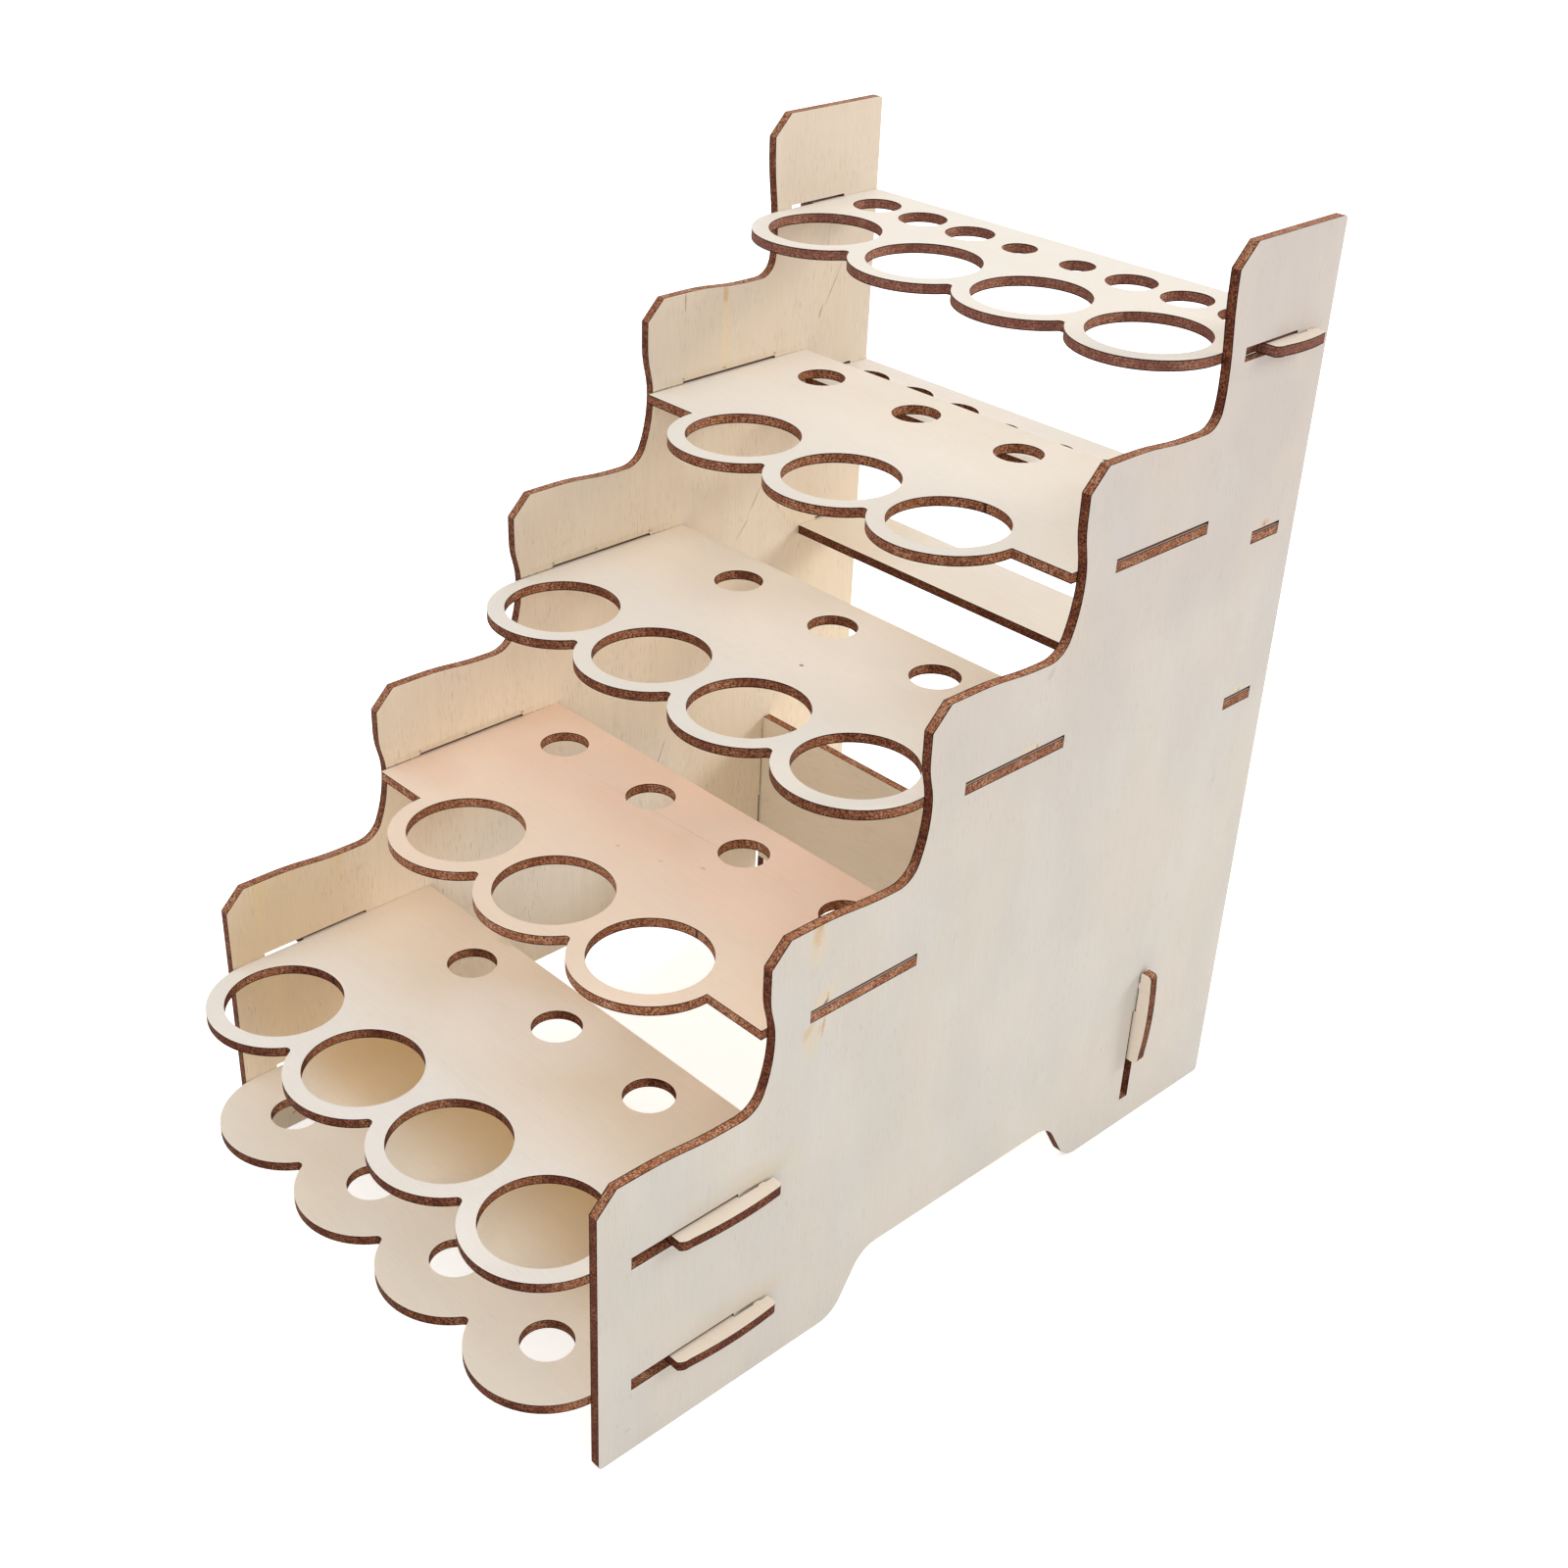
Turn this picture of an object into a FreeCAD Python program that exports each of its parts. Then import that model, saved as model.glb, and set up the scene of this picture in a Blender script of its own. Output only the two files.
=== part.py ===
import FreeCAD, Part
import os
from math import cos, hypot, radians, sin, sqrt

# Stepped desk rack for paint bottles and brushes, cut from flat plywood sheet.
# Two side panels carry a base shelf, five bottle tiers, two brush strips and a
# rear cross panel. Every plate enters the side panels through slots: plain tabs
# are trapped between the panels, and hook tabs pass through, slide and clip
# behind the outer face, which holds the panels together without glue.
#
# Millimetres. X runs across, Y from the front to the back, Z up.
# While it is built, Y is 0 at the front edge of the side panels. The finished
# rack is moved along Y so that the origin is at the middle of its footprint.

Vec = FreeCAD.Vector

# ---- sheet and fits ---------------------------------------------------------
sheet = 3.0                 # plywood thickness
slot_play = 0.9             # slot width beyond the sheet
end_play = 0.2              # free length at each end of a plain tab
side_play = 0.1             # plate edge to the inner face of a side panel
hook_entry_play = 1.4       # slot length beyond the hook that passes through it
hook_back_play = 0.5        # hook to the outer face that it clips behind
nib_play = 0.1              # nib of the hook to the same face

# ---- bottle holes and the scallops round them -------------------------------
hole_r = 17.0               # bottle hole
ring = 5.1                  # sheet left round the front of a bottle hole
hole_pitch = 40.1           # hole to hole along a row
full_row = 4                # holes in a full row; the rows between have one less
notch_r = 1.5               # rounded bottom of the notch between two scallops
finger_r = 7.4              # finger hole, to push a bottle up from below

# ---- tiers ------------------------------------------------------------------
tier_count = 5
first_row_y = 3.5           # first row of bottle holes behind the panel front
row_run = 51.7              # one row of bottles to the next, front to back
last_row_run = 50.1         # the same, up to the top tier
first_tier_z = 66.3         # top face of the lowest tier
tier_rise = 46.6            # tier to tier
base_z = 24.7               # top face of the base shelf
standing_margin = 14.6      # tier behind the next row, where its bottles stand

# ---- plain tabs on tiers 2 to 4 ---------------------------------------------
tab_back = 14.2             # start of a tab behind its row of bottle holes
tab_length = 38.3

# ---- hook tabs --------------------------------------------------------------
hook_reach = 4.8            # furthest that a hook stands out of the panel
hook_bulge = 0.55           # where along its length it does so
# Its rounded corners: width as a share of the reach, and distance from that end.
hook_front = ((0.55, 0.0), (0.68, 0.7), (0.80, 3.2))
hook_rear = ((0.88, 1.8), (0.82, 0.6), (0.69, 0.0))
hook_tip_r = 0.6            # corner beside the panel
nib_share = 0.66            # where along the overlap the nib grips the panel
nib_foot = 2.6              # its length at the hook and at its top
nib_top = 1.4
hook_slot_back = 7.3        # slot start behind the row: base shelf, lowest tier
hook_slot_length = 35.5
hook_overlap = 11.9         # hook beyond the end of its slot
top_slot_back = 7.6         # the same three sizes for the top tier
top_slot_length = 22.6
top_overlap = 7.8

# ---- brush holes and strips -------------------------------------------------
brush_r = 7.5               # wide brush hole
slim_brush_r = 5.3          # slim brush hole
slim_offset = 10.8          # slim holes each side of the middle
wide_offset = 30.2          # first wide hole each side
wide_pitch = 19.2           # wide hole to wide hole
wide_per_side = 3
strip_depth = 28.1
strip_tab_length = 12.3
guide_strip_z = 196.8       # top face of the strip with holes
rest_strip_z = 144.7        # top face of the plain strip that brushes stand on

# ---- rear cross panel -------------------------------------------------------
cross_inset = 38.2          # rear face in front of the rack's back edge
cross_bottom = 18.1
cross_top = 75.7
cross_slot_z = 9.4          # lower end of its slot
cross_slot_length = 34.7
cross_overlap = 14.5

# ---- outline of the side panels ---------------------------------------------
back_margin = 45.0          # back edge behind the top row of bottle holes
wall_rise = (25.7, 26.0, 26.2, 28.4, 28.7)   # panel top above each tier
nose_chamfer = 6.2          # chamfer at the front top of a step
nose_lead = 0.2             # nose in front of its row of bottle holes
waist_back = 1.9            # hollow of the step front, behind that row
nose_flat = (7.6, 7.6, 7.6, 2.0)   # straight front under the chamfer, steps 2 to 5
fillet_r = (8.0, 8.0, 8.0, 6.0)    # inner corner at the foot of steps 2 to 5
waist_lean = (22.0, 22.0, 22.0, 8.0)   # lean above that corner, degrees
waist_r = 42.0              # gentle curve from the corner to the waist
ledge_flat = 10.0           # level start of a step's top edge
ledge_drop = 1.6            # fall of the top edge towards the next step
ledge_run = 25.0            # length over which it falls
foot_corner_r = 1.5
back_corner_r = 1.2
front_foot = 79.2           # length of the front foot
rear_foot = 61.8            # length of the rear foot
arch_height = 18.3          # gap under the panel between its feet
arch_r = 9.5                # curves at each end of the arch
arch_slope = 60.0           # slope between those curves, degrees

# ---- places worked out from the sizes above ---------------------------------
scallop_r = hole_r + ring
plate_half = (full_row - 1) / 2 * hole_pitch + scallop_r
inner_x = plate_half + side_play
outer_x = inner_x + sheet
row_y = [first_row_y + row_run * step for step in range(tier_count - 1)]
row_y.append(row_y[-1] + last_row_run)
tier_z = [first_tier_z + tier_rise * step for step in range(tier_count)]
back_y = row_y[-1] + back_margin
brush_y = back_y - strip_depth / 2
tier_depth = row_run + standing_margin
cross_y = back_y - cross_inset
middle_y = (row_y[0] - scallop_r + back_y) / 2


class Pen:
    """Draws an outline of tangent lines and arcs, then turns it into a plate."""

    def __init__(self, u, v, heading):
        self.u = u
        self.v = v
        self.heading = heading
        self.edges = []

    def _add(self, edge, u, v):
        self.edges.append(edge.toShape())
        self.u = u
        self.v = v

    def line_to(self, u, v):
        if hypot(u - self.u, v - self.v) > 1e-6:
            self._add(Part.LineSegment(Vec(self.u, self.v, 0), Vec(u, v, 0)), u, v)

    def forward(self, length):
        angle = radians(self.heading)
        self.line_to(self.u + length * cos(angle), self.v + length * sin(angle))

    def turn(self, radius, sweep):
        """Tangent arc; a positive sweep turns left."""
        side = 1 if sweep > 0 else -1
        normal = radians(self.heading + 90 * side)
        centre_u = self.u + radius * cos(normal)
        centre_v = self.v + radius * sin(normal)
        points = []
        for share in (0.5, 1.0):
            angle = normal + radians(180 + sweep * share)
            points.append(Vec(centre_u + radius * cos(angle), centre_v + radius * sin(angle), 0))
        arc = Part.Arc(Vec(self.u, self.v, 0), points[0], points[1])
        self._add(arc, points[1].x, points[1].y)
        self.heading += sweep

    def arc_to(self, through, end):
        arc = Part.Arc(Vec(self.u, self.v, 0), Vec(*through, 0), Vec(*end, 0))
        self._add(arc, *end)

    def sway(self, length, offset):
        """S-curve that ends parallel to its start, offset to the left."""
        half_chord = hypot(length, offset) / 2
        angle = radians(self.heading)
        along = Vec(cos(angle), sin(angle), 0)
        left = Vec(-sin(angle), cos(angle), 0)
        start = Vec(self.u, self.v, 0)
        radius = half_chord ** 2 / abs(offset)
        sag = radius - sqrt(radius ** 2 - half_chord ** 2 / 4)
        across = (left * length - along * offset).normalize() * sag
        if offset > 0:
            across = across * -1
        quarter = (along * length + left * offset) * 0.25
        first = Part.Arc(start, start + quarter + across, start + quarter * 2)
        second = Part.Arc(start + quarter * 2, start + quarter * 3 - across, start + quarter * 4)
        self.edges.append(first.toShape())
        end = start + quarter * 4
        self._add(second, end.x, end.y)

    def plate(self, thickness):
        return Part.Face(Part.Wire(self.edges)).extrude(Vec(0, 0, thickness))


def box(low, high):
    size = [b - a for a, b in zip(low, high)]
    return Part.makeBox(*size, Vec(*low))


def round_hole(x, y, radius, top):
    return Part.makeCylinder(radius, sheet, Vec(x, y, top - sheet))


def mirrored(shape):
    return shape.mirror(Vec(0, 0, 0), Vec(1, 0, 0))


def join(pieces):
    return pieces[0].fuse(pieces[1:]).removeSplitter()


def hole_places(count):
    return [(number - (count - 1) / 2) * hole_pitch for number in range(count)]


def row_size(tier):
    """Bottle holes in a tier: full rows and shorter rows take turns."""
    return full_row - tier % 2


def brush_holes():
    places = [(slim_offset, slim_brush_r)]
    places += [(wide_offset + wide_pitch * step, brush_r) for step in range(wide_per_side)]
    return [(side * x, brush_y, radius) for side in (-1, 1) for x, radius in places]


# ---- hook tabs and their slots ----------------------------------------------
# A slot and its hook are one list: where the slot starts and ends, and where
# the hook starts and ends, all measured along the plate.

def hook_span(slot_start, slot_length, overlap):
    slot_end = slot_start + slot_length
    hook_end = slot_end + overlap
    hook_start = hook_end - (slot_length - hook_entry_play)
    return slot_start, slot_end, hook_start, hook_end


base_hook = hook_span(row_y[0] + hook_slot_back, hook_slot_length, hook_overlap)
top_hook = hook_span(row_y[-1] + top_slot_back, top_slot_length, top_overlap)
cross_hook = hook_span(cross_slot_z, cross_slot_length, cross_overlap)


def hook_tab(span):
    """Hook on the +X side of a flat plate, in its plane, 1 sheet thick."""
    _, slot_end, start, end = span
    front = [(outer_x + share * hook_reach, start + back) for share, back in hook_front]
    rear = [(outer_x + share * hook_reach, end - back) for share, back in hook_rear]
    widest = (outer_x + hook_reach, start + hook_bulge * (end - start))
    inner = outer_x + hook_back_play
    tip_bend = hook_tip_r * (1 - sin(radians(45)))
    pen = Pen(plate_half - sheet, start, 0)
    pen.line_to(*front[0])
    pen.arc_to(front[1], front[2])
    pen.arc_to(widest, rear[0])
    pen.arc_to(rear[1], rear[2])
    pen.line_to(inner + hook_tip_r, end)
    pen.arc_to((inner + tip_bend, end - tip_bend), (inner, end - hook_tip_r))
    nib = slot_end + nib_share * (end - slot_end)
    pen.line_to(inner, nib + nib_foot / 2)
    pen.line_to(outer_x + nib_play, nib + nib_top / 2)
    pen.line_to(outer_x + nib_play, nib - nib_top / 2)
    pen.line_to(inner, nib - nib_foot / 2)
    pen.line_to(inner, slot_end - end_play)
    pen.line_to(plate_half - sheet, slot_end - end_play)
    pen.line_to(plate_half - sheet, start)
    return pen.plate(sheet)


# ---- flat plates ------------------------------------------------------------

def scalloped_plate(row, holes, rear):
    """Plate from its scalloped front to its rear edge, lying on Z = 0."""
    centres = hole_places(holes)
    notch_drop = sqrt((scallop_r + notch_r) ** 2 - (hole_pitch / 2) ** 2)
    touch = scallop_r / (scallop_r + notch_r)
    pen = Pen(-plate_half, rear, -90)
    pen.line_to(-plate_half, row)
    pen.line_to(centres[0] - scallop_r, row)
    for x in centres:
        bottom = (x, row - scallop_r)
        if x == centres[-1]:
            pen.arc_to(bottom, (x + scallop_r, row))
            continue
        step = hole_pitch / 2
        pen.arc_to(bottom, (x + step * touch, row - notch_drop * touch))
        pen.arc_to((x + step, row - notch_drop + notch_r),
                   (x + hole_pitch - step * touch, row - notch_drop * touch))
    pen.line_to(plate_half, row)
    pen.line_to(plate_half, rear)
    pen.line_to(-plate_half, rear)
    return pen.plate(sheet)


def plain_tab(start, length):
    """Tab on the +X side, flush with the outer face of the side panel."""
    return box((plate_half - sheet, start, 0), (outer_x, start + length, sheet))


def with_tabs(plate, tab, top):
    """Adds a tab at both sides, and lifts the plate so that its top is at `top`."""
    whole = join([plate, tab, mirrored(tab)])
    whole.translate(Vec(0, 0, top - sheet))
    return whole


def drill(plate, holes, top):
    return plate.cut([round_hole(x, y, radius, top) for x, y, radius in holes])


def base_shelf():
    plate = scalloped_plate(row_y[0], full_row, row_y[0] + tier_depth)
    plate = with_tabs(plate, hook_tab(base_hook), base_z)
    fingers = [(x, row_y[0], finger_r) for x in hole_places(full_row)]
    return drill(plate, fingers, base_z)


def bottle_tier(tier):
    row = row_y[tier]
    top = tier_z[tier]
    count = row_size(tier)
    holes = [(x, row, hole_r) for x in hole_places(count)]
    rear = row + tier_depth
    if tier == 0:
        tab = hook_tab(base_hook)
    elif tier == tier_count - 1:
        tab = hook_tab(top_hook)
        rear = back_y
        holes += brush_holes()
    else:
        tab = plain_tab(row + tab_back, tab_length)
    if tier < tier_count - 1:
        holes += [(x, row + row_run, finger_r) for x in hole_places(row_size(tier + 1))]
    plate = with_tabs(scalloped_plate(row, count, rear), tab, top)
    return drill(plate, holes, top)


def brush_strip(top):
    plate = box((-plate_half, back_y - strip_depth, 0), (plate_half, back_y, sheet))
    tab = plain_tab(brush_y - strip_tab_length / 2, strip_tab_length)
    return with_tabs(plate, tab, top)


def rear_cross_panel():
    """Upright plate, drawn lying down and then stood up on its lower edge."""
    plate = box((-plate_half, cross_bottom, 0), (plate_half, cross_top, sheet))
    tab = hook_tab(cross_hook)
    panel = join([plate, tab, mirrored(tab)])
    panel.rotate(Vec(0, 0, 0), Vec(1, 0, 0), 90)
    panel.translate(Vec(0, cross_y, 0))
    return panel


# ---- side panels ------------------------------------------------------------

def step_front(pen, step):
    """From the top edge of one step up the hollow front of the next one."""
    waist_y = row_y[step] + waist_back
    nose_y = row_y[step] - nose_lead
    nose_z = tier_z[step] + wall_rise[step] - nose_chamfer
    lean = waist_lean[step - 1]
    pen.turn(fillet_r[step - 1], 90 - lean)
    pen.turn(waist_r, lean)
    pen.sway(nose_z - nose_flat[step - 1] - pen.v, waist_y - nose_y)
    pen.line_to(nose_y, nose_z)
    pen.line_to(nose_y + nose_chamfer, nose_z + nose_chamfer)
    pen.heading = 0


def corner_reach(step):
    """Room in front of the waist taken by the curves at the foot of a step."""
    lean = radians(waist_lean[step - 1])
    return fillet_r[step - 1] * cos(lean) + waist_r * (1 - cos(lean))


def side_outline():
    pen = Pen(foot_corner_r, 0, 180)
    pen.turn(foot_corner_r, -90)
    pen.line_to(0, tier_z[0] + wall_rise[0] - nose_chamfer)
    pen.line_to(nose_chamfer, tier_z[0] + wall_rise[0])
    pen.heading = 0
    for step in range(1, tier_count):
        pen.forward(ledge_flat)
        pen.sway(ledge_run, -ledge_drop)
        pen.line_to(row_y[step] + waist_back - corner_reach(step), pen.v)
        step_front(pen, step)
    pen.line_to(back_y - back_corner_r, pen.v)
    pen.turn(back_corner_r, -90)
    pen.line_to(back_y, back_corner_r)
    pen.turn(back_corner_r, -90)
    arch_run = 2 * arch_r * sin(radians(arch_slope))
    arch_curve_rise = 2 * arch_r * (1 - cos(radians(arch_slope)))
    slope_length = (arch_height - arch_curve_rise) / sin(radians(arch_slope))
    arch_run += slope_length * cos(radians(arch_slope))
    pen.line_to(back_y - rear_foot, 0)
    for sweep in (-arch_slope, arch_slope):
        pen.turn(arch_r, sweep)
        if sweep < 0:
            pen.forward(slope_length)
    pen.line_to(front_foot + arch_run, arch_height)
    for sweep in (arch_slope, -arch_slope):
        pen.turn(arch_r, sweep)
        if sweep > 0:
            pen.forward(slope_length)
    pen.line_to(foot_corner_r, 0)
    return pen


def flat_slot(start, end, top):
    """Slot through both side panels for a level plate that rests on its floor."""
    return box((-2 * outer_x, start, top - sheet), (2 * outer_x, end, top + slot_play))


def side_slots():
    slots = [flat_slot(base_hook[0], base_hook[1], base_z)]
    slots.append(flat_slot(base_hook[0], base_hook[1], tier_z[0]))
    slots.append(flat_slot(top_hook[0], top_hook[1], tier_z[-1]))
    for tier in range(1, tier_count - 1):
        start = row_y[tier] + tab_back
        slots.append(flat_slot(start - end_play, start + tab_length + end_play, tier_z[tier]))
    half_tab = strip_tab_length / 2 + end_play
    for top in (guide_strip_z, rest_strip_z):
        slots.append(flat_slot(brush_y - half_tab, brush_y + half_tab, top))
    cross_front = cross_y - sheet - slot_play
    slots.append(box((-2 * outer_x, cross_front, cross_hook[0]), (2 * outer_x, cross_y, cross_hook[1])))
    return slots


def side_panel(inner_face):
    """Panel drawn flat, stood up along the depth, and cut for every slot."""
    panel = side_outline().plate(sheet)
    panel.rotate(Vec(0, 0, 0), Vec(1, 1, 1), 120)
    panel.translate(Vec(inner_face, 0, 0))
    return panel.cut(side_slots())


nodes = {
    "left_side_panel": side_panel(-outer_x),
    "right_side_panel": side_panel(inner_x),
    "base_shelf": base_shelf(),
    "brush_guide_strip": drill(brush_strip(guide_strip_z), brush_holes(), guide_strip_z),
    "brush_rest_strip": brush_strip(rest_strip_z),
    "rear_cross_panel": rear_cross_panel(),
}
for number in range(tier_count):
    nodes[f"bottle_tier_{number + 1}"] = bottle_tier(number)

os.makedirs("parts", exist_ok=True)
for name, shape in nodes.items():
    shape.translate(Vec(0, -middle_y, 0))
    shape.exportStep(f"parts/{name}.step")
    size = shape.BoundBox
    print(name, shape.isValid(), len(shape.Solids), round(shape.Volume), size)
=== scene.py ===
from collections import namedtuple
from math import cos, radians, sin

import bpy
from mathutils import Euler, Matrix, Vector


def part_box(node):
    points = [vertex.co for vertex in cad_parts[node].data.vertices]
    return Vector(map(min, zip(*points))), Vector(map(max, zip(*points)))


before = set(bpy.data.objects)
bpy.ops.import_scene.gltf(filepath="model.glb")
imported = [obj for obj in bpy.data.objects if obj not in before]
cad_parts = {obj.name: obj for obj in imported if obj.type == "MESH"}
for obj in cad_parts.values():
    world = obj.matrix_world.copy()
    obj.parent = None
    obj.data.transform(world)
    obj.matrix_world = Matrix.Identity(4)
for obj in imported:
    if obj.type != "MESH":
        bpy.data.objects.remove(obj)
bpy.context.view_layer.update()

# Bare birch plywood rack with laser-cut edges. Every CAD plate keeps its own mesh and
# gets a procedural plywood: pale veneer on its two faces and scorched wood on its cut
# edges. Lengths are in metres, and in millimetres inside the materials.

MM = 1000                   # millimetres in a metre
AXES = "XYZ"

# ---- the plates and how they lie --------------------------------------------
# Axis across the sheet, and axis along the grain of its face veneer. Every plate but
# the side panels reaches through both of them, along X.
LEVEL_PLATE = ("Z", "X")
LIES = {
    "left_side_panel": ("X", "Z"),
    "right_side_panel": ("X", "Z"),
    "rear_cross_panel": ("Y", "X"),
}
SCALLOP_R = 22.1            # front of a tier to the middle of its row of bottle holes


def row_y(name):
    """Depth at which the row of bottle holes of a tier lies."""
    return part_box(name)[0][1] * MM + SCALLOP_R


def top_z(name):
    """Height of the top of a plate."""
    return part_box(name)[1][2] * MM


# ---- colours of the veneer, linear ------------------------------------------
CREAM = (0.88, 0.82, 0.74)
TAN = (0.85, 0.705, 0.545)
ROSE_CREAM = (0.92, 0.73, 0.575)
PINK_CREAM = (0.86, 0.62, 0.475)
GREY_CREAM = (0.615, 0.573, 0.518)
INNER_CREAM = (0.72, 0.61, 0.49)
INNER_TAN = (0.93, 0.79, 0.61)
REST_PAINTED_LIGHT_CREAM = (0.98, 0.92, 0.83)
REST_TAN = (0.87, 0.75, 0.59)
CROSS_PAINTED_LIGHT_CREAM = (0.97, 0.85, 0.68)
CROSS_TAN = (0.80, 0.69, 0.555)
OUTER_CREAM = (0.78, 0.715, 0.63)
HOOK_CREAM = (0.82, 0.72, 0.60)
TOP_GREY = (0.578, 0.52, 0.48)
HONEY = (0.78, 0.585, 0.355)
PAINTED_SHADE_OLIVE = (0.74, 0.53, 0.29)
# Painted light, for patches on tiers 1 to 3.
PAINTED_LIGHT_CREAM = (0.94, 0.845, 0.745)
PAINTED_LIGHT_PINK = (0.945, 0.70, 0.555)
LIT_TAN = (0.97, 0.84, 0.665)
PALE_GREY = (0.78, 0.78, 0.76)
PORE = (0.42, 0.34, 0.26)
SMOKE = (0.60, 0.49, 0.31)
AMBER = (0.60, 0.33, 0.12)
STRAW = (0.72, 0.58, 0.37)
PALE = (0.97, 0.92, 0.83)
# Soot of the burns, also used for painted shadow lines.
SOOT_AND_SHADE = (0.07, 0.03, 0.02)
YELLOW = (0.84, 0.64, 0.32)
GREY = (0.42, 0.39, 0.36)
LINE = (0.34, 0.25, 0.19)
BASE_CREAM = (0.87, 0.78, 0.665)
BASE_TAN = (0.83, 0.62, 0.345)
FRONT_CREAM = (0.92, 0.87, 0.805)
MIDDLE_TAN = (0.87, 0.76, 0.635)
SHADE_CREAM = (0.84, 0.78, 0.70)
SHADE_TAN = (0.82, 0.75, 0.66)
TOP_CREAM = (0.81, 0.75, 0.67)

# ---- colours of the cut edges -----------------------------------------------
CHAR = (0.020, 0.006, 0.004)
BURNT = (0.052, 0.013, 0.007)
SCORCHED = (0.225, 0.065, 0.028)
TOASTED = (0.44, 0.18, 0.080)
BARE = (0.61, 0.34, 0.205)
PLUM = (0.20, 0.088, 0.085)

# ---- marks on the faces -----------------------------------------------------
# A mark is a soft oval: its middle along the two axes of the sheet, half length, half
# width, turn in degrees from the first axis, colour and strength. Marks are on the
# face that looks right, to the rear or up.

RIGHT_MARKS = (
    # Painted shadow along the tops of the two lower hooks, in the gap between hook and panel.
    (-66.2, top_z("bottle_tier_1") + 0.2, 5.2, 0.5, 0, SOOT_AND_SHADE, 0.9),
    (-65.8, top_z("base_shelf") + 0.2, 5.6, 0.5, 0, SOOT_AND_SHADE, 0.9),
    # Resin and burns above and round the slot of tier 2.
    (-46.8, 133.4, 7.5, 4.2, 90, STRAW, 0.40),
    (-47.2, 136.8, 4.6, 2.3, 84, AMBER, 0.42),
    (-46.4, 138.2, 2.0, 0.9, 84, AMBER, 0.40),
    (-44.0, 115.6, 5.4, 2.8, 30, STRAW, 0.48),
    (-43.0, 114.4, 1.4, 0.6, 30, SOOT_AND_SHADE, 0.9),
    (-42.6, 115.8, 1.8, 0.45, 80, AMBER, 0.65),
    (-43.6, 106.6, 3.4, 0.55, 82, AMBER, 0.8),
    (-45.0, 106.4, 2.0, 0.45, 75, AMBER, 0.45),
    (-49.0, 107.2, 3.0, 1.5, 55, AMBER, 0.50),
    (-47.6, 104.0, 6.5, 4.2, 90, STRAW, 0.36),
    # Burns at the slots of tier 3 and of both brush strips.
    (30.9, 160.9, 1.1, 0.4, 90, SOOT_AND_SHADE, 0.8),
    (28.2, 161.0, 4.5, 1.3, 3, STRAW, 0.6),
    (121.2, 198.4, 1.2, 0.4, 90, SOOT_AND_SHADE, 0.7),
    (121.4, 198.8, 2.6, 1.4, 0, AMBER, 0.45),
    (122.5, 146.4, 1.2, 0.4, 90, SOOT_AND_SHADE, 0.6),
    (121.8, 147.0, 2.4, 1.2, 0, STRAW, 0.6),
    # Grey specks in the veneer.
    (33.5, 181.4, 2.4, 1.2, 60, GREY, 0.4),
    (117.2, 118.1, 1.7, 1.2, 45, GREY, 0.22),
    (-111.3, 12.1, 1.1, 0.6, 60, GREY, 0.45),
    (-108.0, 7.9, 1.4, 0.6, 10, GREY, 0.4),
    (-98.0, 6.6, 0.9, 0.5, 30, GREY, 0.35),
    # Soft tan bands just above the slots of the two lower hooks.
    (-70.0, 69.5, 22.0, 5.5, 2, SMOKE, 0.20),
    (-64.0, 68.0, 11.0, 2.2, 0, SMOKE, 0.26),
    (-70.0, 27.9, 22.0, 5.0, 2, SMOKE, 0.18),
    (-64.0, 26.4, 11.0, 2.2, 0, SMOKE, 0.26),
)
LEFT_MARKS = (
    # Painted shadow: a dark line in the gap beside the end of the cross panel.
    (94.8, 56.0, 19.0, 0.35, 90, SOOT_AND_SHADE, 0.7),
    # Yellow streaks along the grain, with resin and soot above the last one.
    (-106.4, 92.0, 18.0, 2.1, 90, YELLOW, 0.42),
    (-79.6, 95.0, 16.0, 3.0, 90, YELLOW, 0.45),
    (72.4, 216.0, 20.0, 2.2, 90, YELLOW, 0.30),
    (72.0, 231.5, 3.4, 1.3, 90, AMBER, 0.55),
    (55.6, 231.8, 3.8, 0.35, 90, SOOT_AND_SHADE, 0.45),
    # Slanting hairlines.
    (118.6, 225.0, 8.5, 0.35, 62, LINE, 0.6),
    (113.4, 217.0, 3.0, 0.45, 70, LINE, 0.7),
    (87.6, 160.0, 8.0, 0.30, 58, LINE, 0.6),
    (82.0, 150.5, 5.0, 0.30, 50, LINE, 0.6),
    (96.0, 158.0, 9.0, 0.28, 118, LINE, 0.4),
    (47.3, 78.0, 6.5, 0.35, 68, LINE, 0.6),
    # Resin specks seen through the first finger hole of the base shelf.
    (-102.6, 4.7, 0.8, 0.5, 20, AMBER, 0.8),
    (-106.5, 8.2, 0.7, 0.5, 0, AMBER, 0.8),
    (-99.0, 9.4, 0.6, 0.4, 0, AMBER, 0.7),
)

# Joints between the left panel and tiers 2 to 4: burn ticks, each at its distance
# behind the row and with its half height, then smoke, then the dark line itself.
BURN_TICKS = ((14.2, 0.6), (31.0, 0.9), (52.6, 0.8))
LEFT_JOINTS = [(row_y(name), top_z(name)) for name in
               ("bottle_tier_2", "bottle_tier_3", "bottle_tier_4")]
LEFT_MARKS += tuple((row + behind, top + 1.6, 0.45, height, 90, SOOT_AND_SHADE, 0.6)
                    for row, top in LEFT_JOINTS for behind, height in BURN_TICKS)
LEFT_MARKS += tuple((row + 32.0, top + 1.4, 32.0, 1.9, 0, SMOKE, 0.38)
                    for row, top in LEFT_JOINTS)
LEFT_MARKS += tuple((row + 20.0, top + 0.1, 47.0, 0.42, 0, SOOT_AND_SHADE, 0.62)
                    for row, top in LEFT_JOINTS)

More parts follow.
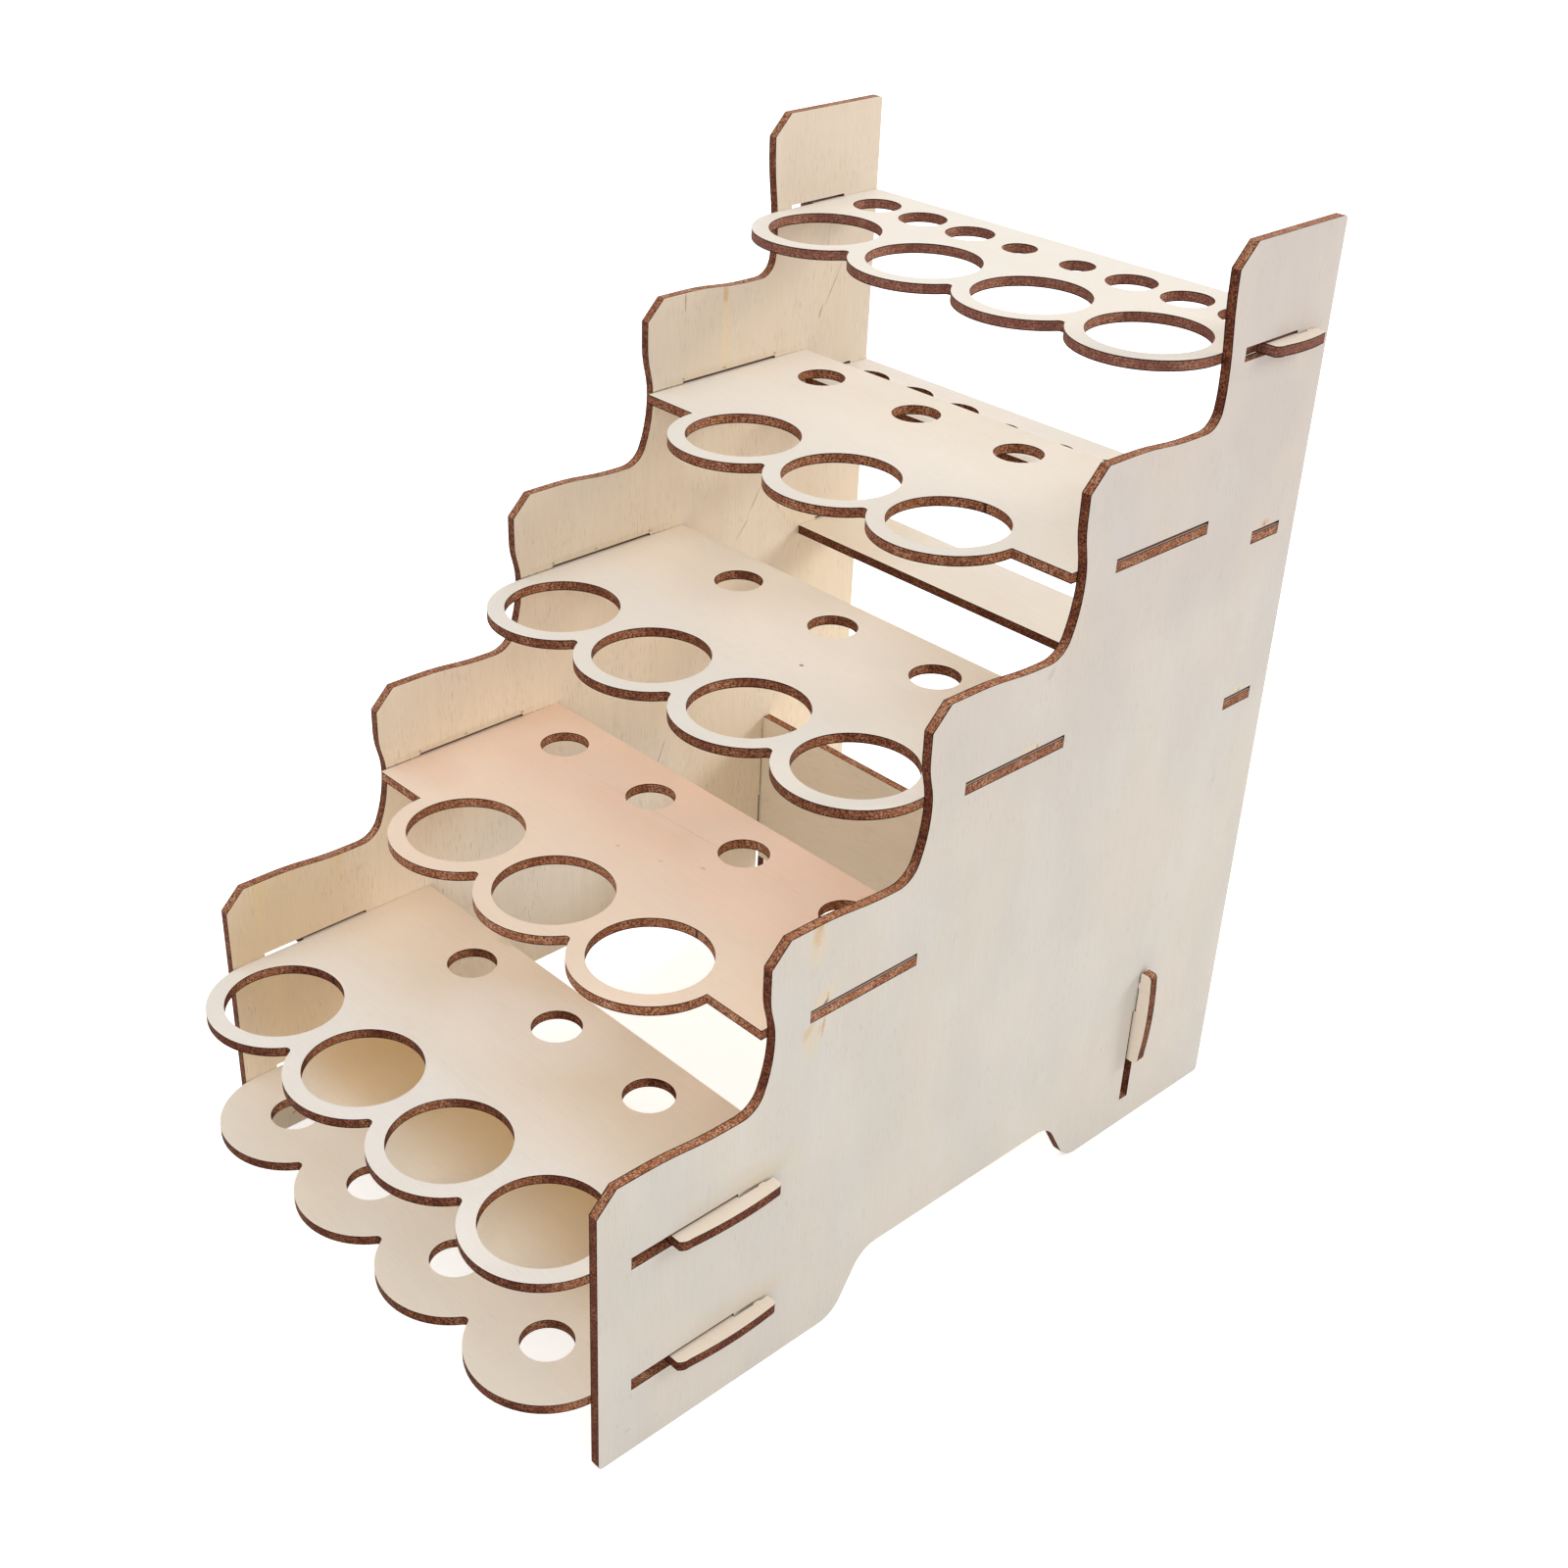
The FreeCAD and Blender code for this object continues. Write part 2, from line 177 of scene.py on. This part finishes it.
TIER_1_MARKS = ((-41.8, -48.3, 4.5, 1.5, 10, SMOKE, 0.40),)
TIER_2_MARKS = (
    # A hairline along the grain, and three specks.
    (0.0, -14.6, 60.0, 0.22, 2.3, LINE, 0.22),
    (-5.8, -35.1, 0.8, 0.5, 30, LINE, 0.45),
    (18.3, -24.5, 1.1, 0.5, 10, LINE, 0.45),
    (8.0, -31.0, 0.9, 0.4, 40, LINE, 0.35),
)
TIER_3_MARKS = ((11.6, 17.2, 0.85, 0.65, 0, SOOT_AND_SHADE, 0.75),)

# Dark laps in the wall of a bottle hole, where its cut starts and ends.
TIER_1_LAPS = ((-61.0, -96.3, 0.8, 2.5, 0, CHAR, 1.0),)
TIER_2_LAPS = ((39.2, -44.4, 0.7, 2.5, 0, CHAR, 0.9),)
TIER_4_LAPS = (
    (38.2, 59.0, 0.9, 2.5, 0, CHAR, 1.0),
    (-58.5, 46.0, 2.5, 1.4, 60, BURNT, 0.8),
)

# Broad patches of another tint, given like marks. They lie under the grain. Some are painted
# light and one is painted shade, as noted at each.
LEFT_TINTS = (
    # Painted light: the pale oval and the two lit-tan ovals lighten the inner face of the left
    # panel under the tiers.
    (5.0, 62.0, 62.0, 44.0, 0, PALE, 0.9),
    (-98.0, 62.0, 34.0, 52.0, 0, HONEY, 0.8),
    (77.0, 181.0, 26.0, 15.0, 0, LIT_TAN, 0.9),
    (4.0, 146.0, 30.0, 16.0, 0, LIT_TAN, 0.9),
)
# Painted shade: an olive-tan patch on the base shelf, under tier 1.
BASE_TINTS = ((-60.0, -80.0, 32.0, 24.0, 0, PAINTED_SHADE_OLIVE, 0.7),)
REST_TINTS = ((-78.0, 112.0, 48.0, 40.0, 0, REST_TAN, 0.95),)
# Painted light: the bright cream and bright pink patches lighten parts of the tops of tiers 1 to
# 3.
TIER_1_TINTS = ((-6.0, -70.0, 36.0, 22.0, 20, PAINTED_LIGHT_CREAM, 0.75),)
TIER_2_TINTS = (
    (-74.0, -50.0, 16.0, 12.0, 0, PINK_CREAM, 0.7),
    (36.0, -12.0, 34.0, 30.0, 0, PAINTED_LIGHT_PINK, 0.9),
)
TIER_3_TINTS = ((8.0, 28.0, 46.0, 30.0, 0, PAINTED_LIGHT_CREAM, 0.9),)

# ---- how each plate looks ---------------------------------------------------
# Tints of the veneer at the front (or foot) and at the rear (or top), and the two
# places between which one gives way to the other. On the tiers and the base shelf the
# darker rear tint is painted shade under the plate above; on the left panel the paler
# foot tint is painted light low down under the tiers. coarse is how strongly the grain
# shows, toast is how light the cut edges are, and plum is how purple they are. The
# marks and tints on the faces and the laps on the edges are those above.
Look = namedtuple("Look", "front rear fade marks tints laps coarse toast plum",
                  defaults=((), (), (), 0.12, 0.1, 0.0))
FADE_START = 2              # behind the row of bottle holes
FADE_LENGTH = 46
PANEL_FADE = (100, 230)     # heights on a side panel
ANYWHERE = (0, 1)           # for a plate with one tint


# A tier's darker rear tint, where it has one, is painted shade under the plate above.
def tier_look(name, front=CREAM, rear=TAN, **details):
    start = row_y(name) + FADE_START
    return Look(front, rear, (start, start + FADE_LENGTH), **details)


LOOKS = {
    "base_shelf": tier_look(
        "base_shelf", BASE_CREAM, BASE_TAN, toast=0.0, tints=BASE_TINTS),
    "bottle_tier_1": tier_look(
        "bottle_tier_1", FRONT_CREAM, toast=0.0,
        marks=TIER_1_MARKS, tints=TIER_1_TINTS, laps=TIER_1_LAPS),
    "bottle_tier_2": tier_look(
        "bottle_tier_2", ROSE_CREAM, PINK_CREAM, toast=0.75,
        marks=TIER_2_MARKS, tints=TIER_2_TINTS, laps=TIER_2_LAPS),
    "bottle_tier_3": tier_look(
        "bottle_tier_3", rear=MIDDLE_TAN, toast=0.2, marks=TIER_3_MARKS, tints=TIER_3_TINTS),
    "bottle_tier_4": tier_look(
        "bottle_tier_4", SHADE_CREAM, SHADE_TAN, toast=0.45, laps=TIER_4_LAPS),
    "bottle_tier_5": tier_look(
        "bottle_tier_5", TOP_CREAM, TOP_CREAM, toast=0.35, plum=0.4),
    "brush_guide_strip": Look(CREAM, CREAM, ANYWHERE),
    # The rest strip's cream is painted light: paler than its wood, lifting it where little light
    # reaches; the tan patch at its left end is darker.
    "brush_rest_strip": Look(REST_PAINTED_LIGHT_CREAM, REST_PAINTED_LIGHT_CREAM, ANYWHERE, tints=REST_TINTS),
    "rear_cross_panel": Look(CROSS_TAN, CROSS_TAN, ANYWHERE, coarse=0.5),
    "left_side_panel": Look(
        INNER_TAN, INNER_CREAM, PANEL_FADE, marks=LEFT_MARKS, tints=LEFT_TINTS, coarse=1.0),
    "right_side_panel": Look(
        GREY_CREAM, TOP_GREY, PANEL_FADE, marks=RIGHT_MARKS, coarse=0.65, toast=0.0),
}
# Tint of the face that looks to the left or, on the cross panel, to the front. The cross panel's
# front tint is painted light: paler than its wood, lifting that face in the shade behind the
# tiers.
BACKS = {"left_side_panel": OUTER_CREAM, "right_side_panel": INNER_TAN,
         "rear_cross_panel": CROSS_PAINTED_LIGHT_CREAM}

# ---- layers of noise in the wood --------------------------------------------
# Length of a clump along the grain and across it, detail, roughness, place in the
# noise, and the two values of the noise between which the layer goes from 0 to 1. On
# a cut edge the clumps run through the sheet.
Layer = namedtuple("Layer", "long wide detail roughness shift low high")
WARM_CLOUDS = Layer(45, 30, 2, 0.5, 0, 0.36, 0.64)
COOL_CLOUDS = Layer(40, 24, 2, 0.5, 31, 0.40, 0.66)
BANDS = Layer(90, 4, 3, 0.55, 3, 0.38, 0.72)
FIBRES = Layer(9, 0.5, 2, 0.6, 5, 0.38, 0.68)
PORES = Layer(4.2, 0.36, 1, 0.5, 9, 0.58, 0.72)
PORE_PATCHES = Layer(14, 14, 2, 0.5, 12, 0.40, 0.6)
SPECKS = Layer(0.6, 0.6, 2, 0.8, 20, 0.44, 0.58)
STREAKS = Layer(5, 0.55, 2, 0.6, 27, 0.40, 0.60)
TOAST_PATCHES = Layer(6, 6, 2, 0.6, 22, 0.42, 0.62)
WOBBLE = Layer(1.6, 1.6, 3, 0.6, 40, 0.3, 0.7)
WOBBLE_REACH = 0.25         # how far the wobble moves the outline of a mark
NOISE_SPREAD = (1, 1.7, 2.3)    # one step in the noise, along X, Y and Z
SEED_STEP = 13.7            # steps from one plate to the next
BACK_SEED = 60              # steps from one face of a plate to the other
STAIN_EDGE = 1.15           # where a mark ends, in squares of its half size

# How strongly each layer of the veneer shows: at the least, and what coarse adds.
SHARES = {"warm": (0.14, 0.0), "cool": (0.10, 0.0), "band": (0.02, 0.07),
          "fibre": (0.015, 0.05), "pore": (0.04, 0.34)}

# ---- sizes in the wood ------------------------------------------------------
# Distances from the middle of the rack, between which something starts or ends.
OUTSIDE = (82.0, 85.0)      # through a side panel: the tint of the hooks
SLOT_START = (82.6, 83.2)   # soot and painted shade on a tab's top inside a slot starts
SLOT_END = (84.9, 85.3)     # and ends
SLOT_SOOT_AND_SHADE = 0.9
TAB_END = (85.2, 85.6)      # a tab's end gives way to a hook's outer edge

# Places across a cut edge, from 0 at its middle to 1 at either face.
RIM = (0.66, 0.90)          # charring begins, and is full
RIM_SHARE = 0.92
GLUE_LINE = 0.34
GLUE_WIDTH = 0.12           # to either side of the line
GLUE_SHARE = 0.35

FACING_UP = (0.2, 0.95)     # how far up an edge looks: lightens, and is fully light
FACING_SIDEWAYS = (0.7, 1.0)    # the same for the end of a tab
TOP_EDGE_PAINTED_LIGHT = 0.95            # how light an edge that faces up is: painted light from above
TAB_TOAST = 0.9             # and how light the end of a tab is
STREAK_SHARE = 0.5
PATCH_SHARE = (0.3, 0.55)   # of toasted wood: at the least, and what toast adds
BARE_SHARE = (0.35, 1.0)    # of bare wood: outside and inside such a patch

ROUGHNESS = 0.75
SPECULAR = 0.12
BUMP_STRENGTH = 0.3
BUMP_DEPTH = 0.0001


class Shader:
    """Builds one node material, with places measured in millimetres."""

    def __init__(self, name):
        self.material = bpy.data.materials.new(name)
        self.material.use_nodes = True
        self.tree = self.material.node_tree
        self.bsdf = self.tree.nodes["Principled BSDF"]
        coordinates = self.new("ShaderNodeTexCoord")
        scaled = self.new("ShaderNodeVectorMath", operation="SCALE")
        scaled.inputs["Scale"].default_value = MM
        self.link(coordinates.outputs["Object"], scaled.inputs[0])
        self.place = scaled.outputs[0]
        self.axis = self.split(self.place)
        self.facing = self.split(self.new("ShaderNodeNewGeometry").outputs["True Normal"])

    def new(self, kind, **settings):
        node = self.tree.nodes.new(kind)
        for key, value in settings.items():
            setattr(node, key, value)
        return node

    def link(self, source, target):
        """source is a socket or a constant."""
        if isinstance(source, bpy.types.NodeSocket):
            self.tree.links.new(source, target)
        elif isinstance(source, tuple) and len(target.default_value) == 4:
            target.default_value = (*source, 1)
        else:
            target.default_value = source

    def split(self, vector):
        node = self.new("ShaderNodeSeparateXYZ")
        self.link(vector, node.inputs[0])
        return {name: node.outputs[name] for name in AXES}

    def math(self, operation, *values):
        node = self.new("ShaderNodeMath", operation=operation)
        for value, socket in zip(values, node.inputs):
            self.link(value, socket)
        return node.outputs[0]

    def product(self, *values):
        total = values[0]
        for value in values[1:]:
            total = self.math("MULTIPLY", total, value)
        return total

    def span(self, value, low, high, start=0.0, end=1.0):
        """Smooth step of value from low to high."""
        node = self.new("ShaderNodeMapRange", interpolation_type="SMOOTHSTEP")
        for source, socket in zip((value, low, high, start, end), node.inputs):
            self.link(source, socket)
        return node.outputs[0]

    def mix(self, share, first, second):
        node = self.new("ShaderNodeMix", data_type="RGBA")
        colours = [socket for socket in node.inputs if socket.type == "RGBA"]
        self.link(share, node.inputs[0])
        self.link(first, colours[0])
        self.link(second, colours[1])
        return next(socket for socket in node.outputs if socket.type == "RGBA")

    def layer(self, kind, axis, seed, start=0.0, end=1.0):
        """Noise of one kind, its clumps lying along the axis, from start to end."""
        lengths = [kind.long if name == axis else kind.wide for name in AXES]
        shift = seed + kind.shift
        mapping = self.new("ShaderNodeMapping")
        self.link(self.place, mapping.inputs["Vector"])
        mapping.inputs["Scale"].default_value = [1 / length for length in lengths]
        mapping.inputs["Location"].default_value = [shift * spread for spread in NOISE_SPREAD]
        noise = self.new("ShaderNodeTexNoise")
        self.link(mapping.outputs[0], noise.inputs["Vector"])
        noise.inputs["Scale"].default_value = 1
        noise.inputs["Detail"].default_value = kind.detail
        noise.inputs["Roughness"].default_value = kind.roughness
        return self.span(noise.outputs[0], kind.low, kind.high, start, end)

    def off_centre(self):
        """Distance from the middle of the rack, to the left or right."""
        return self.math("ABSOLUTE", self.axis["X"])

    def reach(self, direction, middle, half):
        """Distance from middle along direction, in halves."""
        node = self.new("ShaderNodeVectorMath", operation="DOT_PRODUCT")
        self.link(self.place, node.inputs[0])
        node.inputs[1].default_value = [value / half for value in direction]
        offset = sum(a * b for a, b in zip(direction, middle)) / half
        return self.math("SUBTRACT", node.outputs["Value"], offset)

    def stain(self, colour, plane, mark, wobble=0.0):
        """Colour with a mark on it, whose outline wobbles."""
        first, second, length, width, turn, tint, strength = mark
        along, across, middle = [0, 0, 0], [0, 0, 0], [0, 0, 0]
        u, v = (AXES.index(name) for name in plane)
        middle[u], middle[v] = first, second
        along[u], along[v] = cos(radians(turn)), sin(radians(turn))
        across[u], across[v] = -along[v], along[u]
        far = self.reach(along, middle, length)
        off = self.reach(across, middle, width)
        square = self.math("ADD", self.product(far, far), self.product(off, off))
        square = self.math("ADD", square, wobble)
        return self.mix(self.span(square, 0.0, STAIN_EDGE, strength, 0.0), colour, tint)


def veneer_colour(shader, grain, look, seed, plane):
    """Pale veneer: slow clouds, broad bands along the grain and fine short pores."""
    share = {name: least + more * look.coarse for name, (least, more) in SHARES.items()}
    through_panels = grain == "X"
    # The fade is painted shade towards the rear of the tiers and base shelf, painted light low
    # down on the left panel, and a slightly darker top on the right panel.
    fade = shader.span(shader.axis["Y" if through_panels else "Z"], *look.fade)
    colour = shader.mix(fade, look.front, look.rear)
    for mark in look.tints:
        colour = shader.stain(colour, plane, mark)
    if through_panels:
        colour = shader.mix(shader.span(shader.off_centre(), *OUTSIDE), colour, HOOK_CREAM)
    warm = shader.layer(WARM_CLOUDS, grain, seed)
    cool = shader.layer(COOL_CLOUDS, grain, seed)
    band = shader.layer(BANDS, grain, seed)
    fibre = shader.layer(FIBRES, grain, seed)
    pore = shader.layer(PORES, grain, seed)
    patch = shader.layer(PORE_PATCHES, grain, seed)
    colour = shader.mix(shader.product(warm, share["warm"]), colour, TAN)
    colour = shader.mix(shader.product(cool, share["cool"]), colour, PALE_GREY)
    colour = shader.mix(shader.product(band, share["band"]), colour, SMOKE)
    colour = shader.mix(shader.product(fibre, share["fibre"]), colour, PORE)
    colour = shader.mix(shader.product(pore, patch, share["pore"]), colour, PORE)
    # Inside a slot the tab's top is darkened to scorched brown: partly soot of the cut, partly
    # painted shade in the narrow gap.
    if through_panels:
        starts = shader.span(shader.off_centre(), *SLOT_START)
        ends = shader.span(shader.off_centre(), *SLOT_END, SLOT_SOOT_AND_SHADE, 0.0)
        colour = shader.mix(shader.product(starts, ends), colour, SCORCHED)
    return colour, fibre


def edge_colour(shader, across, middle, half, look, seed):
    """Scorched ply: charred at both arrises, speckled and streaked between them."""
    speck = shader.layer(SPECKS, across, seed)
    streak = shader.layer(STREAKS, across, seed)
    patch = shader.layer(TOAST_PATCHES, across, seed)
    depth = shader.math("SUBTRACT", shader.axis[across], middle)
    depth = shader.math("DIVIDE", shader.math("ABSOLUTE", depth), half)
    rim = shader.span(depth, *RIM)
    glue = shader.math("ABSOLUTE", shader.math("SUBTRACT", depth, GLUE_LINE))
    glue = shader.span(glue, 0.0, GLUE_WIDTH, 1.0, 0.0)
    # Edges that face up are painted lighter, as painted light from above; other edges keep the
    # plate's own toast, and tab ends are made lighter too.
    lit = shader.span(shader.facing["Z"], *FACING_UP, look.toast, TOP_EDGE_PAINTED_LIGHT)
    if across != "X":
        sideways = shader.math("ABSOLUTE", shader.facing["X"])
        sideways = shader.span(sideways, *FACING_SIDEWAYS)
        inside = shader.span(shader.off_centre(), *TAB_END, 1.0, 0.0)
        lit = shader.math("MAXIMUM", lit, shader.product(sideways, inside, TAB_TOAST))
    least, more = PATCH_SHARE
    dark = shader.mix(speck, BURNT, SCORCHED)
    dark = shader.mix(shader.product(streak, STREAK_SHARE), dark, BURNT)
    dark = shader.mix(shader.product(patch, speck, least + more * look.toast), dark, TOASTED)
    light = shader.mix(speck, SCORCHED, TOASTED)
    light = shader.mix(shader.product(shader.span(patch, 0, 1, *BARE_SHARE), speck), light, BARE)
    colour = shader.mix(lit, dark, light)
    if look.plum:
        colour = shader.mix(look.plum, colour, PLUM)
    colour = shader.mix(shader.product(glue, GLUE_SHARE), colour, BURNT)
    return shader.mix(shader.product(rim, RIM_SHARE), colour, CHAR), speck


def plywood(name, low, high, sheet_axis, grain, seed):
    """Material of one plate, which fills the box from low to high."""
    shader = Shader("birch_" + name)
    look = LOOKS[name]
    index = AXES.index(sheet_axis)
    middle = (low[index] + high[index]) * MM / 2
    half = (high[index] - low[index]) * MM / 2
    plane = AXES.replace(sheet_axis, "")
    wobble = shader.layer(WOBBLE, grain, seed, -WOBBLE_REACH, WOBBLE_REACH)
    face, fibre = veneer_colour(shader, grain, look, seed, plane)
    marked = face
    for mark in look.marks:
        marked = shader.stain(marked, plane, mark, wobble)
    if name in BACKS:
        back = look._replace(front=BACKS[name], rear=BACKS[name], tints=())
        face, fibre = veneer_colour(shader, grain, back, seed + BACK_SEED, plane)
    if name in BACKS or look.marks:
        shown = shader.math("GREATER_THAN", shader.facing[sheet_axis], 0.0)
        face = shader.mix(shown, face, marked)
    edge, speck = edge_colour(shader, sheet_axis, middle, half, look, seed)
    for mark in look.laps:
        edge = shader.stain(edge, plane, mark)
    flat = shader.math("ABSOLUTE", shader.facing[sheet_axis])
    on_face = shader.math("GREATER_THAN", flat, 0.5)
    shader.link(shader.mix(on_face, edge, face), shader.bsdf.inputs["Base Color"])
    shader.bsdf.inputs["Roughness"].default_value = ROUGHNESS
    shader.bsdf.inputs["Specular IOR Level"].default_value = SPECULAR
    bump = shader.new("ShaderNodeBump")
    bump.inputs["Strength"].default_value = BUMP_STRENGTH
    bump.inputs["Distance"].default_value = BUMP_DEPTH
    shader.link(shader.mix(on_face, speck, fibre), bump.inputs["Height"])
    shader.link(bump.outputs[0], shader.bsdf.inputs["Normal"])
    return shader.material


def dress_plates():
    for number, (name, node) in enumerate(sorted(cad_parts.items())):
        sheet_axis, grain = LIES.get(name, LEVEL_PLATE)
        material = plywood(name, *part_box(name), sheet_axis, grain, number * SEED_STEP)
        node.data.materials.clear()
        node.data.materials.append(material)


# ---- floor, light and camera ------------------------------------------------
WHITE = (1.0, 1.0, 1.0)
FLOOR_HALF = 6.0
FLOOR_DROP = 0.0002         # keeps the floor clear of the feet
FLOOR_COLOUR = (0.90, 0.89, 0.88)
FLOOR_ROUGHNESS = 0.9
FLOOR_LIFT = 0.60           # glow that lights nothing else
AMBIENT = 0.64              # light from the world, which itself looks white

# Name, place, target, diameter and power in watts.
LAMPS = (
    ("key", (-0.3, -0.7, 2.4), (0, 0, 0.15), 1.8, 12.5),
    ("fill", (1.4, -1.7, 1.3), (0, 0, 0.12), 1.6, 12),
    ("rear", (1.1, 1.9, 1.05), (0, 0.05, 0.10), 0.9, 23.5),
    ("rear_left", (-1.1, 1.9, 1.0), (0, 0.05, 0.12), 1.2, 8.5),
)

CAMERA_PLACE = (0.37325, -0.35072, 0.42734)
CAMERA_TURN = (59.164, -1.241, 47.979)      # degrees about X, Y and Z
CAMERA_SENSOR = 36
CAMERA_LENS = 47.75
CAMERA_SHIFT = (0.047, 0.0009)
CAMERA_START = 0.01         # nearest distance that it shows


def seen_rays(tree):
    """1 for the rays that show a surface as it looks: camera, glossy and transmission."""
    path = tree.nodes.new("ShaderNodeLightPath")
    total = path.outputs["Is Camera Ray"]
    for name in ("Is Glossy Ray", "Is Transmission Ray"):
        node = tree.nodes.new("ShaderNodeMath")
        node.operation = "MAXIMUM"
        tree.links.new(total, node.inputs[0])
        tree.links.new(path.outputs[name], node.inputs[1])
        total = node.outputs[0]
    return total


def add_floor():
    mesh = bpy.data.meshes.new("floor")
    half = FLOOR_HALF
    corners = [(-half, -half, 0), (half, -half, 0), (half, half, 0), (-half, half, 0)]
    mesh.from_pydata(corners, [], [(0, 1, 2, 3)])
    floor = bpy.data.objects.new("floor", mesh)
    floor.location.z = -FLOOR_DROP
    bpy.context.collection.objects.link(floor)
    material = bpy.data.materials.new("pale_floor")
    material.use_nodes = True
    tree = material.node_tree
    bsdf = tree.nodes["Principled BSDF"]
    bsdf.inputs["Base Color"].default_value = (*FLOOR_COLOUR, 1)
    bsdf.inputs["Roughness"].default_value = FLOOR_ROUGHNESS
    bsdf.inputs["Emission Color"].default_value = (*WHITE, 1)
    lift = tree.nodes.new("ShaderNodeMath")
    lift.operation = "MULTIPLY"
    lift.inputs[1].default_value = FLOOR_LIFT
    tree.links.new(seen_rays(tree), lift.inputs[0])
    tree.links.new(lift.outputs[0], bsdf.inputs["Emission Strength"])
    mesh.materials.append(material)


def add_world():
    world = bpy.data.worlds.new("studio")
    world.use_nodes = True
    bpy.context.scene.world = world
    tree = world.node_tree
    background = tree.nodes["Background"]
    background.inputs["Color"].default_value = (*WHITE, 1)
    strength = tree.nodes.new("ShaderNodeMapRange")
    strength.inputs["To Min"].default_value = AMBIENT
    strength.inputs["To Max"].default_value = 1
    tree.links.new(seen_rays(tree), strength.inputs["Value"])
    tree.links.new(strength.outputs[0], background.inputs["Strength"])


def add_lamp(name, place, target, size, power):
    data = bpy.data.lights.new(name, "AREA")
    data.shape = "DISK"
    data.size = size
    data.energy = power
    lamp = bpy.data.objects.new(name, data)
    lamp.location = place
    lamp.rotation_euler = (Vector(target) - Vector(place)).to_track_quat("-Z", "Y").to_euler()
    bpy.context.collection.objects.link(lamp)


def add_camera():
    data = bpy.data.cameras.new("camera")
    data.sensor_width = CAMERA_SENSOR
    data.lens = CAMERA_LENS
    data.shift_x, data.shift_y = CAMERA_SHIFT
    data.clip_start = CAMERA_START
    camera = bpy.data.objects.new("camera", data)
    camera.location = CAMERA_PLACE
    camera.rotation_euler = Euler([radians(angle) for angle in CAMERA_TURN])
    bpy.context.collection.objects.link(camera)
    bpy.context.scene.camera = camera


dress_plates()
add_floor()
add_world()
for lamp in LAMPS:
    add_lamp(*lamp)
add_camera()
bpy.context.scene.view_settings.view_transform = "Standard"
